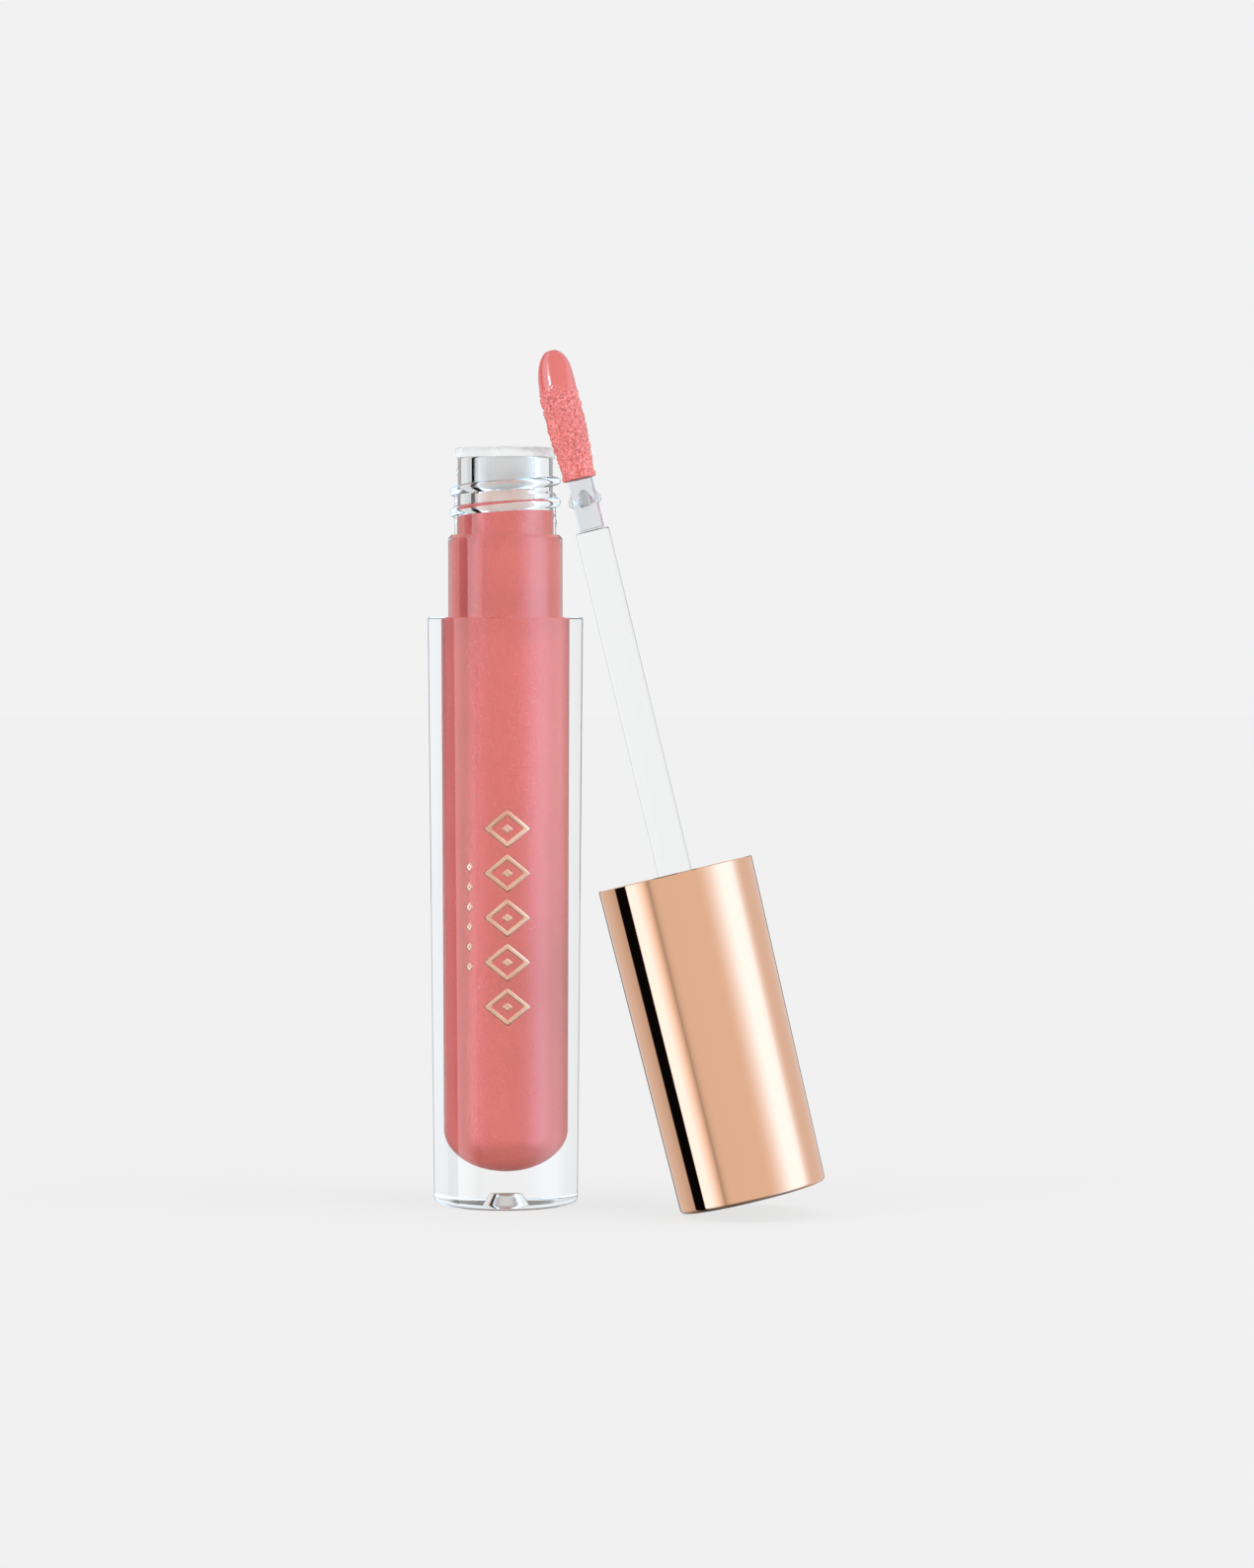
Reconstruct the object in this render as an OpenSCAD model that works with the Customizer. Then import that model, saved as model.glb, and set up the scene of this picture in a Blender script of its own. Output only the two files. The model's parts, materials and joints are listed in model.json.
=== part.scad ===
// Lip gloss tube, open: a thick-walled clear bottle that stands on its base, and beside it the applicator
// (screw cap, clear rod and flocked tip) standing on the edge of its cap and leaning back over the bottle.
// Origin: centre of the bottle's underside. +Z up the bottle, +X towards the applicator, -Y the front.
// Unscrewed by hand: the thread is right-handed, and cap mouth and bottle shoulder share one diameter.

/* [Bottle] */
// Radius of the bottle at its base
base_r = 8.6; // [8:0.05:9]
// Radius at the shoulder and at the cap's mouth, where the two meet when closed
joint_r = 9.25; // [9:0.05:9.5]
// Height from the base to the shoulder
body_h = 70; // [60:0.5:80]
// Height of the cavity's lowest point
cavity_floor = 4.2; // [3:0.1:6]
// Cavity radius where its round bottom starts
cavity_low_r = 4.68; // [4.4:0.01:4.8]
// Cavity radius under the neck
cavity_top_r = 4.88; // [4.7:0.01:5.2]
// Height of the gloss
gloss_level = 82.6; // [60:0.1:84]

/* [Neck] */
// Radius of the collar above the shoulder
collar_r = 6.8; // [6.5:0.05:6.9]
// Height of the collar
collar_h = 9.8; // [9:0.1:11]
// Radius of the neck's lower stretch
neck_low_r = 6.03; // [5.8:0.01:6.1]
// Radius of the neck's upper stretch
neck_r = 5.65; // [5.4:0.01:5.7]
// Height of the neck above the shoulder
neck_h = 18.9; // [18:0.1:20]
// Radius of the bore through the neck
neck_bore_r = 3.65; // [3.4:0.05:3.9]

/* [Thread] */
// Rise of the thread in one turn
pitch = 2.5; // [2.2:0.05:2.8]
// Turns of thread on the bottle
thread_turns = 2.5; // [1.5:0.25:2.5]
// Radius over the bottle's thread
thread_r = 6.6; // [6.5:0.01:6.65]
// Height above the shoulder at which the bottle's thread starts
thread_start = 11.2; // [11:0.1:12]

/* [Wiper] */
// Radius of the flange that lies on the neck
flange_r = 5.9; // [5.6:0.05:6]
// Thickness of the flange
flange_t = 1.2; // [0.8:0.1:1.4]
// Radius of the sleeve's bore
wiper_bore_r = 2.8; // [2.6:0.05:3]
// Radius of the orifice that wipes the rod
orifice_r = 1.85; // [1.7:0.05:1.95]

/* [Cap] */
// Length of the cap
cap_len = 39; // [36:0.5:42]
// Radius at the cap's closed end
cap_end_r = 8.72; // [8.5:0.01:9.2]
// Thickness of the metal shell
shell_t = 0.45; // [0.3:0.05:0.6]
// Radius of the shell's rounded edge at its closed end
shell_edge_r = 0.5; // [0.3:0.05:0.8]

/* [Wand] */
// Radius of the clear rod
rod_r = 2; // [1.9:0.05:2.1]
// How far the rod stands out of the cap's mouth
rod_out = 41.6; // [38:0.1:44]
// How far the whole wand stands out of the cap's mouth
wand_out = 63.4; // [60:0.1:65]
// Radius of the stem between rod and tip
stem_r = 1.52; // [1.4:0.01:1.7]
// Length of that stem, up to the tip's flange
stem_len = 6.3; // [5:0.1:7]

/* [Pose beside the bottle] */
// Sideways place of the cap's mouth
mouth_x = 20.15; // [20:0.05:40]
// Depth of the cap's mouth, in front of the bottle's axis
mouth_y = -8.2; // [-12:0.1:-8]
// Lean of the applicator towards the bottle
lean_left = 13.6; // [5:0.1:15]
// Lean of the applicator to the back
lean_back = 3.2; // [0:0.1:4]

/* [Hidden] */
$fn = 96;
nib_count = 4;

// Bottle
edge_r = 0.75;
label_r = 7.5;
label_t = 0.12;
dimple_base_r = 1.8;
dimple_top_r = 1.2;
dimple_h = 1.4;
collar_top = body_h + collar_h;
collar_chamfer = 0.45;
neck_top = body_h + neck_h;
neck_upper_h = 4.3;
neck_step = neck_top - neck_upper_h;
neck_step_h = 0.3;
rim_chamfer = 0.2;
bore_taper_h = 1.2;
cavity_top = collar_top - bore_taper_h;

// Thread: one rounded bead, and the same bead inside the cap, half a pitch away from it
bead_w = 1.2;
bead_sink = 0.3;
bead_fade = 30;
bead_step = 15;
bead_arc = 3;
inner_thread_r = 6.15;
inner_thread_turns = 1.5;
thread_slack = 0.125;
inner_thread_start = -(thread_start + thread_turns * pitch + thread_slack);

// Wiper
wiper_top = neck_top + flange_t;
inlet_chamfer = 0.35;
funnel_top = 81;
funnel_h = 2.1;
lip_h = 0.4;
lip_t = 0.3;
sleeve_end = 80.6;
snap_ring_h = 0.25;
snap_ring_z = [85.4, 87];
snap_ring_proud = 0.06;

// Cap. Heights in the cap run from the mouth, negative towards the closed end.
end_t = 0.6;
inner_mouth = -0.5;
inner_collar_r = 7;
inner_neck_r = 6.85;
collar_gap = 0.4;
inner_step = -(collar_h + collar_gap);
inner_step_chamfer = 0.2;
seal_face = -(wiper_top - body_h);
seal_t = 0.6;
seal_r = 5.8;
seal_bore_r = 2.9;
seal_gap = 0.06;
seal_recess = 0.2;
ceiling = seal_face - seal_recess;
pocket = seal_face - seal_t - seal_gap;
web_t = 1.6;
boss_r = 3.3;
socket_end = -32;
boss_end = socket_end - 2;
rib_count = 6;
rib_t = 1;
rib_root = 1;
rib_lap = 0.5;
rib_gap = 0.1;

// Wand
shank_r = 1.2;
shank_len = 1.6;
shank_through = 1;
rod_chamfer = 0.12;
tip_base = rod_out + stem_len;
tip_flange_r = 1.95;
tip_flange_t = 0.5;
core_r = 1.3;
core_top = wand_out - 5.6;
nib_z = rod_out + 2.8;
nib_h = 2;
nib_r = 1.98;
nib_t = 0.7;
nib_sink = 0.3;
nib_ramp = [0.25, 0.45];
tip_r = 2.22;
tip_waist_r = 2;
tip_waist_h = 0.2;
tip_belly = wand_out - 7.9;
toe_size = [2.12, 1.35, 2.15];
toe_back = 0.6;
toe_turn = -12;
tip_sides = 32;

// The cap's closed end is a round edge, and its lowest point touches the floor.
lean = acos(cos(lean_left) * cos(lean_back));
mouth_z = (cap_len - shell_edge_r) * cos(lean) + (cap_end_r - shell_edge_r) * sin(lean) + shell_edge_r;

// Points of an arc from angle a0 to a1 about c.
function arc(c, r, a0, a1, n = 6) =
    [for (i = [0:n]) let (a = a0 + (a1 - a0) * i / n) [c[0] + r * cos(a), c[1] + r * sin(a)]];

// Outside radius of the cap at a height in it.
function cap_r(h) = joint_r + (cap_end_r - joint_r) * -h / cap_len;

// The cavity's outline from the axis up to the height top, which is in the neck.
function cavity_outline(top) = concat(
    [[0, top], [0, cavity_floor]],
    arc([0, cavity_floor + cavity_low_r], cavity_low_r, -80, 0, 8),
    [[cavity_top_r, cavity_top], [neck_bore_r, collar_top], [neck_bore_r, top]]);

// A ring that stands out of the wiper's sleeve, and keeps it in the neck.
function snap_ring(z) = [[neck_bore_r, z], [neck_bore_r + snap_ring_proud, z + snap_ring_h / 2],
                         [neck_bore_r, z + snap_ring_h]];

function wiper_outline() = concat(
    [[wiper_bore_r + inlet_chamfer, wiper_top], [wiper_bore_r, wiper_top - inlet_chamfer],
     [wiper_bore_r, funnel_top], [orifice_r, funnel_top - funnel_h],
     [orifice_r, funnel_top - funnel_h - lip_h], [orifice_r + lip_t, funnel_top - funnel_h - lip_h],
     [neck_bore_r - lip_t, sleeve_end - lip_h], [neck_bore_r, sleeve_end]],
    [for (z = snap_ring_z) each snap_ring(z)],
    [[neck_bore_r, neck_top], [flange_r, neck_top], [flange_r, wiper_top - rim_chamfer],
     [flange_r - rim_chamfer, wiper_top]]);

// Cross-section of a thread's bead at one angle: root is buried in the wall, and grow is 0 at a faded end.
function bead_section(root, crest, grow) = let (
    side = sign(crest - root),
    height = bead_sink + (abs(crest - root) - bead_sink) * grow)
    [for (i = [0:bead_arc]) let (a = -90 + 180 * i / bead_arc)
        [root + side * height * cos(a), side * bead_w / 2 * sin(a)]];

// A helical bead of the stated turns that starts at angle 0 and height z, on a wall at wall_r.
module thread_bead(wall_r, crest, z, turns) {
    root = wall_r + sign(wall_r - crest) * bead_sink;
    steps = round(turns * 360 / bead_step);
    corners = bead_arc + 1;
    points = [for (i = [0:steps]) let (
        a = i * bead_step,
        grow = min(1, a / bead_fade, (turns * 360 - a) / bead_fade))
        for (p = bead_section(root, crest, grow))
            [p[0] * cos(a), p[0] * sin(a), z + p[1] + pitch * a / 360]];
    sides = [for (i = [0:steps - 1]) for (j = [0:corners - 1]) let (
        a = i * corners + j,
        b = i * corners + (j + 1) % corners)
        each [[a, b, b + corners], [a, b + corners, a + corners]]];
    first = [for (j = [corners - 1:-1:0]) j];
    last = [for (j = [0:corners - 1]) steps * corners + j];
    polyhedron(points, concat(sides, [first, last]));
}

// Places what is drawn about the applicator's own axis: mouth of the cap at 0, tip upwards.
module beside_bottle() {
    translate([mouth_x, mouth_y, mouth_z]) rotate([-lean_back, -lean_left, 0]) children();
}

module bottle() {
    outside = concat(
        [[0, label_t + dimple_h], [dimple_top_r, label_t + dimple_h], [dimple_base_r, label_t],
         [label_r, label_t], [label_r, 0]],
        arc([base_r - edge_r, edge_r], edge_r, -90, 0, 4),
        [[joint_r, body_h], [collar_r, body_h], [collar_r, collar_top - collar_chamfer],
         [collar_r - collar_chamfer, collar_top], [neck_low_r, collar_top], [neck_low_r, neck_step],
         [neck_r, neck_step + neck_step_h], [neck_r, neck_top - rim_chamfer],
         [neck_r - rim_chamfer, neck_top], [0, neck_top]]);
    color([0.93, 0.95, 0.95, 0.5]) {
        difference() {
            union() {
                rotate_extrude() polygon(outside);
                thread_bead(neck_r, thread_r, body_h + thread_start, thread_turns);
            }
            rotate_extrude() polygon(cavity_outline(neck_top));
        }
    }
}

module wiper() {
    color([0.9, 0.92, 0.92]) rotate_extrude() polygon(wiper_outline());
}

module gloss_fill() {
    color([0.87, 0.45, 0.44]) rotate_extrude() difference() {
        polygon(cavity_outline(gloss_level));
        polygon(wiper_outline());
    }
}

module base_label() {
    color([0.3, 0.16, 0.2]) cylinder(r = label_r, h = label_t);
}

module seal_ring() {
    color([0.95, 0.95, 0.93]) beside_bottle() translate([0, 0, seal_face - seal_t]) difference() {
        cylinder(r = seal_r, h = seal_t);
        translate([0, 0, -seal_t]) cylinder(r = seal_bore_r, h = 3 * seal_t);
    }
}

module inner_cap() {
    inside_end = -(cap_len - end_t);
    web_end = pocket - web_t;
    body = [[inner_collar_r, inner_mouth], [inner_collar_r, inner_step],
            [inner_neck_r, inner_step - inner_step_chamfer], [inner_neck_r, ceiling],
            [seal_r + seal_gap, ceiling], [seal_r + seal_gap, pocket],
            [rod_r, pocket], [rod_r, socket_end], [0, socket_end], [0, boss_end], [boss_r, boss_end],
            [boss_r, web_end], [cap_r(web_end) - shell_t, web_end],
            [cap_r(inner_mouth) - shell_t, inner_mouth]];
    rib = [[boss_r - rib_root, boss_end], [boss_r - rib_root, web_end + rib_lap],
           [cap_r(web_end) - shell_t - rib_gap, web_end + rib_lap],
           [cap_r(inside_end) - shell_t - rib_gap, inside_end], [boss_r - rib_root, inside_end]];
    color([0.92, 0.9, 0.88]) beside_bottle() {
        union() {
            rotate_extrude() polygon(body);
            thread_bead(inner_neck_r, inner_thread_r, inner_thread_start, inner_thread_turns);
            for (i = [0:rib_count - 1])
                rotate([90, 0, i * 360 / rib_count]) translate([0, 0, -rib_t / 2])
                    linear_extrude(rib_t) polygon(rib);
        }
    }
}

module cap_shell() {
    inside_end = -(cap_len - end_t);
    shell = concat(
        [[joint_r - shell_t, 0], [cap_r(inside_end) - shell_t, inside_end], [0, inside_end], [0, -cap_len]],
        arc([cap_end_r - shell_edge_r, shell_edge_r - cap_len], shell_edge_r, -90, 0, 6),
        [[joint_r, 0]]);
    color([0.88, 0.69, 0.56]) beside_bottle() rotate_extrude() polygon(shell);
}

module wand_rod() {
    color([0.95, 0.96, 0.96, 0.6]) beside_bottle() difference() {
        rotate_extrude() polygon([[0, socket_end], [rod_r, socket_end], [rod_r, rod_out - rod_chamfer],
                                  [rod_r - rod_chamfer, rod_out], [0, rod_out]]);
        translate([0, 0, rod_out - shank_len]) cylinder(r = shank_r, h = shank_len + shank_through);
    }
}

// The moulding that the flock is on, from its shank in the rod to the round top inside the tip.
module core_shape() {
    tip_start = tip_base + tip_flange_t;
    rotate_extrude() polygon(concat(
        [[0, rod_out - shank_len], [shank_r, rod_out - shank_len], [shank_r, rod_out], [stem_r, rod_out],
         [stem_r, tip_base], [tip_flange_r, tip_base], [tip_flange_r, tip_start], [core_r, tip_start]],
        arc([0, core_top - core_r], core_r, 0, 90, 6)));
}

// A wedge on the stem, which keeps it central when it is pushed into the rod.
module nib() {
    rotate([90, 0, 0]) translate([0, 0, -nib_t / 2]) linear_extrude(nib_t)
        polygon([[stem_r - nib_sink, nib_z], [nib_r, nib_z + nib_ramp[0] * nib_h],
                 [nib_r, nib_z + nib_ramp[1] * nib_h], [stem_r - nib_sink, nib_z + nib_h]]);
}

module tip_core() {
    color([0.93, 0.93, 0.93]) beside_bottle() union() {
        core_shape();
        for (i = [0:nib_count - 1]) rotate(i * 360 / nib_count) nib();
    }
}

// The flocked foot: round at its base, widest at its belly, and cut to a thin toe at the front.
module tip_flock() {
    color([0.87, 0.42, 0.42]) beside_bottle() difference() {
        rotate(toe_turn) hull() {
            translate([0, 0, tip_base + tip_flange_t])
                cylinder(r = tip_waist_r, h = tip_waist_h, $fn = tip_sides);
            translate([0, 0, tip_belly]) sphere(r = tip_r, $fn = tip_sides);
            translate([0, toe_back, wand_out - toe_size[2]]) scale(toe_size) sphere(r = 1, $fn = tip_sides);
        }
        core_shape();
    }
}

bottle();
wiper();
gloss_fill();
base_label();
seal_ring();
inner_cap();
cap_shell();
wand_rod();
tip_core();
tip_flock();
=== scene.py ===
"""An open lip gloss tube: the clear bottle of pearly gloss, and the applicator that leans beside it.

Lengths of the object are named in millimetres, as it is drawn, and meshes are made in metres.
The bottle's pieces are drawn about its own axis. The applicator's are drawn about its axis, with the cap's
mouth at height 0 and the tip upwards, and one matrix puts them beside the bottle.
"""
import json
import math

import bmesh
import bpy
from mathutils import Matrix, Vector, noise


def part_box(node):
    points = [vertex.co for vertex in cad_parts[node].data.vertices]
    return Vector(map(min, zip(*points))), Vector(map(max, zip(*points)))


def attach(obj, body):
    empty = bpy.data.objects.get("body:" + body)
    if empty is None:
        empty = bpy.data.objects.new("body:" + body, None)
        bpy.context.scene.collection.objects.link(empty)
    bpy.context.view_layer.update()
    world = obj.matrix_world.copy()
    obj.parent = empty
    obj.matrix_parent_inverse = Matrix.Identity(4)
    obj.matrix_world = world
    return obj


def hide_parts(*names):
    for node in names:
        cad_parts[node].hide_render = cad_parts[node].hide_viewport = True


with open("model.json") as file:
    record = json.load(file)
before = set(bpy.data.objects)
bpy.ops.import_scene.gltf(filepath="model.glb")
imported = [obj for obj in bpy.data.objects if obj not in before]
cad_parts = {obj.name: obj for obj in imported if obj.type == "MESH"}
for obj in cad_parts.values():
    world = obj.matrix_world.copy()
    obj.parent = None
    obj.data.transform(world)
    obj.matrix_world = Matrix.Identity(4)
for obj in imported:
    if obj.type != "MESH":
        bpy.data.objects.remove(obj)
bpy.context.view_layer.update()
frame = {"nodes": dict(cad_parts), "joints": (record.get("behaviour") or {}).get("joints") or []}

MM = 0.001
WHOLE_TURN = 2 * math.pi

# Bottle, mm
BASE_R = 8.6
JOINT_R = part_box("bottle")[1].x / MM
BODY_H = 70.0
COLLAR_R = 6.8
COLLAR_TOP = 79.8
NECK_LOW_R = 6.03
NECK_R = 5.65
NECK_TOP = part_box("bottle")[1].z / MM
NECK_STEP = 84.6
BORE_R = 3.65
CAVITY_FLOOR = 4.2
CAVITY_LOW_R = 4.68
CAVITY_TOP_R = 4.88
CAVITY_TOP = 78.6
GLOSS_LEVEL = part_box("gloss_fill")[1].z / MM
LABEL_R = 7.5
LABEL_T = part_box("base_label")[1].z / MM

# Thread, mm
PITCH = 2.5
BEAD_W = 1.15
THREAD_R = 6.6
THREAD_START = 81.2
THREAD_TURNS = 2.5
BEAD_FADE = 0.09
BEAD_ROUND = 0.6

# Wiper, mm
FLANGE_R = 5.9
WIPER_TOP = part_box("wiper")[1].z / MM
WIPER_BORE_R = 2.8
ORIFICE_R = 1.85

# Cap, mm from its mouth
CAP_LEN = 39.0
CAP_END_R = 8.72
SHELL_T = 0.45
SHELL_EDGE_R = 0.5

# Wand, mm from the cap's mouth
ROD_R = 2.0
ROD_OUT = 41.6
STEM_R = 1.52
TIP_BASE = 47.9
TIP_FLANGE_T = 0.5
WAND_OUT = 63.4


# ---------------------------------------------------------------- where the applicator is

def applicator_matrix():
    """The applicator's own axes in the row's frame, from the hinge that it turns about."""
    hinge = next(j for j in frame["joints"] if j["name"] == "cap_turn")
    axis = Vector(hinge["axis"]).normalized()
    lean_left = math.atan2(-axis.x, axis.z)
    lean_back = math.asin(axis.y)
    turn = Matrix.Rotation(-lean_left, 4, "Y") @ Matrix.Rotation(-lean_back, 4, "X")
    return Matrix.Translation(hinge["pos_m"]) @ turn


APPLICATOR = applicator_matrix()


# ---------------------------------------------------------------- mesh helpers

FINE_SEGMENTS = 160
FINEST_SEGMENTS = 192
SMALL_SEGMENTS = 96
WIPER_SEGMENTS = 128
LONG_STEP = 4
SHARP_EDGE = 30
WELD_M = 1e-7


def arc(centre, radius, start, end, steps=8):
    """Points of an arc about centre, from one angle to another in degrees."""
    angles = [math.radians(start + (end - start) * i / steps) for i in range(steps + 1)]
    return [(centre[0] + radius * math.cos(a), centre[1] + radius * math.sin(a)) for a in angles]


def between(a, b, step):
    """Points from a to b, at most step apart, without b itself."""
    count = max(1, math.ceil(math.dist(a, b) / step))
    return [(a[0] + (b[0] - a[0]) * i / count, a[1] + (b[1] - a[1]) * i / count) for i in range(count)]


def new_piece(name, verts, faces, matrix=None, sharp=SHARP_EDGE):
    """A mesh object from points in millimetres, shaded smooth but for edges sharper than sharp degrees."""
    mesh = bpy.data.meshes.new(name)
    mesh.from_pydata([(x * MM, y * MM, z * MM) for x, y, z in verts], [], faces)
    mesh.validate()
    mesh.shade_smooth()
    mesh.set_sharp_from_angle(angle=math.radians(sharp))
    piece = bpy.data.objects.new(name, mesh)
    bpy.context.scene.collection.objects.link(piece)
    if matrix is not None:
        piece.matrix_world = matrix
    return piece


def lathe(name, outline, segments=FINE_SEGMENTS, closed=False, shape=None, matrix=None,
          sharp=SHARP_EDGE):
    """Turns an outline of (radius, height) points about Z, from the top down its outside.

    closed joins the last point to the first, as for a ring. shape(radius, height, turn) may change the
    radius round the turn, which runs from 0 to 1.
    """
    verts, rings = [], []
    for radius, height in outline:
        if radius < 1e-6:
            rings.append([len(verts)])
            verts.append((0, 0, height))
            continue
        rings.append(list(range(len(verts), len(verts) + segments)))
        for i in range(segments):
            turn = i / segments
            r = shape(radius, height, turn) if shape else radius
            verts.append((r * math.cos(turn * WHOLE_TURN), r * math.sin(turn * WHOLE_TURN), height))
    pairs = list(zip(rings, rings[1:]))
    if closed:
        pairs.append((rings[-1], rings[0]))
    faces = []
    for a, b in pairs:
        for i in range(segments):
            j = (i + 1) % segments
            if len(a) == 1 and len(b) > 1:
                faces.append((a[0], b[i], b[j]))
            elif len(b) == 1 and len(a) > 1:
                faces.append((a[i], b[0], a[j]))
            elif len(a) > 1:
                faces.append((a[i], b[i], b[j], a[j]))
    return new_piece(name, verts, faces, matrix, sharp)


def bead_height(height, turn, start, turns):
    """How much of a helical bead's height is there: 0 off the bead, and 1 on its crest."""
    best = 0.0
    for lap in range(math.ceil(turns) + 1):
        along = turn + lap
        if along > turns:
            break
        off = abs(height - (start + PITCH * along)) / (BEAD_W / 2)
        if off < 1:
            fade = min(1, along / BEAD_FADE, (turns - along) / BEAD_FADE)
            best = max(best, fade * (1 - off * off) ** BEAD_ROUND)
    return best


def ride(piece, body, *nodes, slot=None):
    """Rides a piece on its body, hides the CAD nodes that it stands for, and keeps mirrors clear of it."""
    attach(piece, body)
    if nodes:
        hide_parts(*nodes)
    piece.visible_glossy = False
    return piece


# ---------------------------------------------------------------- materials

GLOSS_DEEP = (0.72, 0.095, 0.086)
GLOSS_LIGHT = (0.76, 0.112, 0.1)
GLOSS_FLAKE = (1.0, 0.42, 0.4)
FLOCK_DEEP = (0.33, 0.043, 0.04)
FLOCK_LIGHT = (0.66, 0.18, 0.165)
POOL_COLOUR = (0.43, 0.093, 0.085)
POOL_START = 57.4
POOL_FULL = 59.4
# Painted shade: the grey painted into clear plastics along their outlines, where they are seen at a grazing
# angle.
PAINTED_EDGE_SHADE = (0.3, 0.31, 0.31)
PLASTIC_SHINE = (1.0, 0.7, 0.5, 1.0)
BOTTLE_SHINE = (1.8, 1.26, 0.9, 1.0)


def material(name, **sockets):
    """A material with one Principled shader, and the values that are the same all over it."""
    mat = bpy.data.materials.new(name)
    mat.use_nodes = True
    shader = mat.node_tree.nodes["Principled BSDF"]
    for socket, value in sockets.items():
        shader.inputs[socket.replace("_", " ")].default_value = value
    return mat, mat.node_tree, shader


def noise_texture(tree, scale, detail=2.0, roughness=0.5):
    """A noise in the piece's own coordinates, with scale in features per metre."""
    where = tree.nodes.new("ShaderNodeTexCoord")
    texture = tree.nodes.new("ShaderNodeTexNoise")
    texture.inputs["Scale"].default_value = scale
    texture.inputs["Detail"].default_value = detail
    texture.inputs["Roughness"].default_value = roughness
    tree.links.new(where.outputs["Object"], texture.inputs["Vector"])
    return texture.outputs["Fac"]


def mapped(tree, value, low, high, to_low, to_high):
    """A value taken from one range to another, and kept in it."""
    node = tree.nodes.new("ShaderNodeMapRange")
    for socket, number in zip(("From Min", "From Max", "To Min", "To Max"), (low, high, to_low, to_high)):
        node.inputs[socket].default_value = number
    tree.links.new(value, node.inputs["Value"])
    return node.outputs["Result"]


def two_colours(tree, value, low, high):
    """A colour between two, by a value from 0 to 1."""
    node = tree.nodes.new("ShaderNodeMix")
    node.data_type = "RGBA"
    node.inputs["A"].default_value = (*low, 1)
    node.inputs["B"].default_value = (*high, 1)
    tree.links.new(value, node.inputs["Factor"])
    return node.outputs["Result"]


def bump(tree, shader, value, distance, strength=1.0):
    """Bumps the shader's surface by a value, to a depth of distance metres."""
    node = tree.nodes.new("ShaderNodeBump")
    node.inputs["Distance"].default_value = distance
    node.inputs["Strength"].default_value = strength
    tree.links.new(value, node.inputs["Height"])
    tree.links.new(node.outputs["Normal"], shader.inputs["Normal"])


def clear_plastic(name, ior, smooth, rough, colour=(0.985, 0.99, 0.99), edge_shade=PAINTED_EDGE_SHADE, thin=0.84,
                  shine=PLASTIC_SHINE, clear=1.0):
    """Clear moulded plastic, with faint flow marks in its polish, and painted grey shade along its outlines,
    where it is seen at a grazing angle.
    """
    mat, tree, shader = material(name, Transmission_Weight=clear, IOR=ior, Specular_Tint=shine)
    # Painted shade: faces seen at a grazing angle from the front turn grey, which draws dark outlines into
    # the colour.
    layer = tree.nodes.new("ShaderNodeLayerWeight")
    side = tree.nodes.new("ShaderNodeNewGeometry")
    entering = mapped(tree, side.outputs["Backfacing"], 0, 1, 1, 0)
    rim = math_node(tree, "MULTIPLY", mapped(tree, layer.outputs["Facing"], thin, 0.95, 0, 1), entering)
    tree.links.new(two_colours(tree, rim, colour, edge_shade), shader.inputs["Base Color"])
    marks = noise_texture(tree, 180, 3)
    tree.links.new(mapped(tree, marks, 0.35, 0.75, smooth, rough), shader.inputs["Roughness"])
    return mat


def pearl_gloss(name):
    """The product: coral pink with a fine pearl that sparkles where the light grazes it."""
    mat, tree, shader = material(name, IOR=1.8, Metallic=0.3, Sheen_Weight=0.4, Sheen_Roughness=0.25)
    flakes = noise_texture(tree, 6000, 1, 0.7)
    drift = noise_texture(tree, 160, 2)
    body = two_colours(tree, mapped(tree, drift, 0.3, 0.7, 0, 1), GLOSS_DEEP, GLOSS_LIGHT)
    node = tree.nodes.new("ShaderNodeMix")
    node.data_type = "RGBA"
    node.inputs["B"].default_value = (*GLOSS_FLAKE, 1)
    tree.links.new(mapped(tree, flakes, 0.6, 0.72, 0, 0.4), node.inputs["Factor"])
    tree.links.new(body, node.inputs["A"])
    tree.links.new(node.outputs["Result"], shader.inputs["Base Color"])
    tree.links.new(mapped(tree, flakes, 0.4, 0.7, 0.4, 0.24), shader.inputs["Roughness"])
    bump(tree, shader, flakes, 0.00003, 0.8)
    return mat


def rose_gold(name):
    """Polished rose-gold anodised aluminium, with the faint grain of its polishing."""
    mat, tree, shader = material(name, Base_Color=(0.85, 0.485, 0.31, 1), Metallic=1.0)
    grain = noise_texture(tree, 900, 3)
    tree.links.new(mapped(tree, grain, 0.3, 0.7, 0.03, 0.055), shader.inputs["Roughness"])
    bump(tree, shader, grain, 0.000001, 0.2)
    return mat


def foil(name):
    """Hot-stamped rose-gold foil: a little uneven, as foil on a curved bottle is."""
    mat, tree, shader = material(name, Metallic=1.0)
    cloud = noise_texture(tree, 220, 2)
    tint = two_colours(tree, mapped(tree, cloud, 0.3, 0.7, 0, 1), (0.76, 0.42, 0.27), (0.95, 0.63, 0.46))
    tree.links.new(tint, shader.inputs["Base Color"])
    grain = noise_texture(tree, 5000, 2)
    tree.links.new(mapped(tree, grain, 0.3, 0.7, 0.22, 0.36), shader.inputs["Roughness"])
    return mat


def moulded_plastic(name, colour, rough, depth=0.000004):
    """Opaque moulded plastic with a fine spark-eroded texture."""
    mat, tree, shader = material(name, IOR=1.49)
    grain = noise_texture(tree, 2600, 3)
    cloud = mapped(tree, noise_texture(tree, 140, 2), 0.3, 0.7, 0, 1)
    tree.links.new(two_colours(tree, cloud, [c * 0.96 for c in colour], colour), shader.inputs["Base Color"])
    tree.links.new(mapped(tree, grain, 0.3, 0.7, rough - 0.06, rough + 0.06), shader.inputs["Roughness"])
    bump(tree, shader, grain, depth, 0.6)
    return mat


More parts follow.
